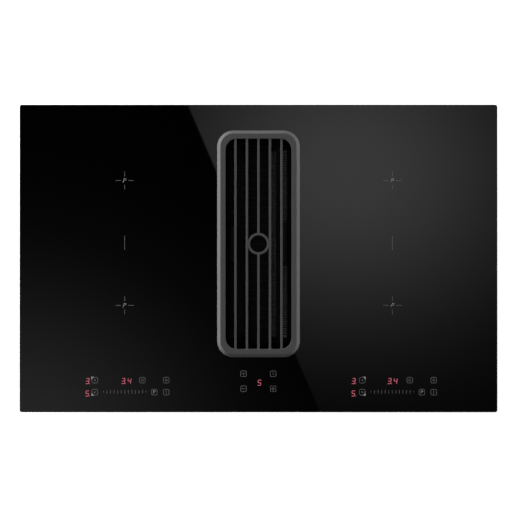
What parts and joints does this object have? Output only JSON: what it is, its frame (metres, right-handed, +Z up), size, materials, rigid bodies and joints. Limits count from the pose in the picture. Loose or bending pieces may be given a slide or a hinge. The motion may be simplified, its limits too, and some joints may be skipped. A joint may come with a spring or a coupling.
{
  "type": "venting induction cooktop",
  "caption": "Built-in venting induction cooktop: black glass top with touch controls, a lift-off central intake grille over a grease filter, and a blower with a flat-duct outlet below.",
  "frame": {"origin": "centre of the hob on the worktop plane, which is the underside of the worktop seal", "axes": "+X to the user's right, +Y to the rear, +Z up"},
  "size_m": [0.8, 0.515, 0.2185],
  "materials": {
    "glass": "polished black glass ceramic",
    "foam": "closed-cell foam",
    "silicone": "matt silicone",
    "enamel": "matt anthracite enamel",
    "stainless": "brushed",
    "galvanised": "galvanised sheet",
    "housing": "black moulded",
    "tray_plastic": "dark grey moulded",
    "motor": "zinc plated",
    "impeller": "moulded",
    "shaft": "ground",
    "aluminium": "mill finish",
    "litz": "enamelled litz wire",
    "ferrite": "sintered",
    "former": "glass-filled moulding",
    "sensor": "ceramic bead",
    "mica": "mica paper",
    "board": "solder mask",
    "component": "moulded",
    "terminal": "moulded",
    "carrier": "white moulding",
    "display": "red diffuser"
  },
  "bodies": {
    "hob": {"blower_base": "housing", "blower_driver": "housing", "blower_lid": "housing", "blower_motor": "motor", "board_standoffs": "carrier", "bracket_screws": "shaft", "cable_inlet": "housing", "centre_bridge": "galvanised", "centre_display": "display", "centre_touch_board": "board", "centre_touch_carrier": "carrier", "coil_formers": "former", "coil_sensors": "sensor", "ferrite_bars": "ferrite", "glass_panel": "glass", "hob_casing": "galvanised", "left_coil_tray": "aluminium", "left_display": "display", "left_fan_frame": "housing", "left_front_coil": "litz", "left_heat_sink": "aluminium", "left_mica_sheet": "mica", "left_power_board": "board", "left_rear_coil": "litz", "left_touch_board": "board", "left_touch_carrier": "carrier", "mains_filter_board": "board", "motor_isolators": "silicone", "outlet_collar": "housing", "plenum_box": "housing", "power_components": "component", "right_coil_tray": "aluminium", "right_display": "display", "right_fan_frame": "housing", "right_front_coil": "litz", "right_heat_sink": "aluminium", "right_mica_sheet": "mica", "right_power_board": "board", "right_rear_coil": "litz", "right_touch_board": "board", "right_touch_carrier": "carrier", "suction_well": "housing", "terminal_block": "terminal", "touch_contacts": "foam", "tray_posts": "galvanised", "tray_supports": "housing", "well_seal": "silicone", "worktop_brackets": "galvanised", "worktop_seal": "foam"},
    "grille": {"intake_grille": "enamel", "grille_pads": "silicone"},
    "filter": {"grease_filter": "stainless", "filter_handles": "stainless"},
    "tray": {"drip_tray": "tray_plastic"},
    "impeller": {"impeller": "impeller", "impeller_shaft": "shaft"},
    "left_fan": {"left_fan_rotor": "housing"},
    "right_fan": {"right_fan_rotor": "housing"}
  },
  "joints": [
    {"name": "grille_lift", "type": "slide", "parent": "hob", "child": "grille", "axis": [0, 0, 1], "range_m": [0, 0.26]},
    {"name": "filter_lift", "type": "slide", "parent": "hob", "child": "filter", "axis": [0, 0, 1], "range_m": [0, 0.17]},
    {"name": "tray_lift", "type": "slide", "parent": "hob", "child": "tray", "axis": [0, 0, 1], "range_m": [0, 0.105]},
    {"name": "impeller_spin", "type": "hinge", "parent": "hob", "child": "impeller", "pos_m": [0, 0, -0.15], "axis": [0, 0, 1], "continuous": true},
    {"name": "left_fan_spin", "type": "hinge", "parent": "hob", "child": "left_fan", "pos_m": [-0.31, -0.13, -0.04], "axis": [0, 0, 1], "continuous": true},
    {"name": "right_fan_spin", "type": "hinge", "parent": "hob", "child": "right_fan", "pos_m": [0.31, -0.13, -0.04], "axis": [0, 0, 1], "continuous": true}
  ],
  "couplings": [
    {"joint": "filter_lift", "follows": "grille_lift", "ratio": 0.65},
    {"joint": "tray_lift", "follows": "grille_lift", "ratio": 0.4}
  ]
}
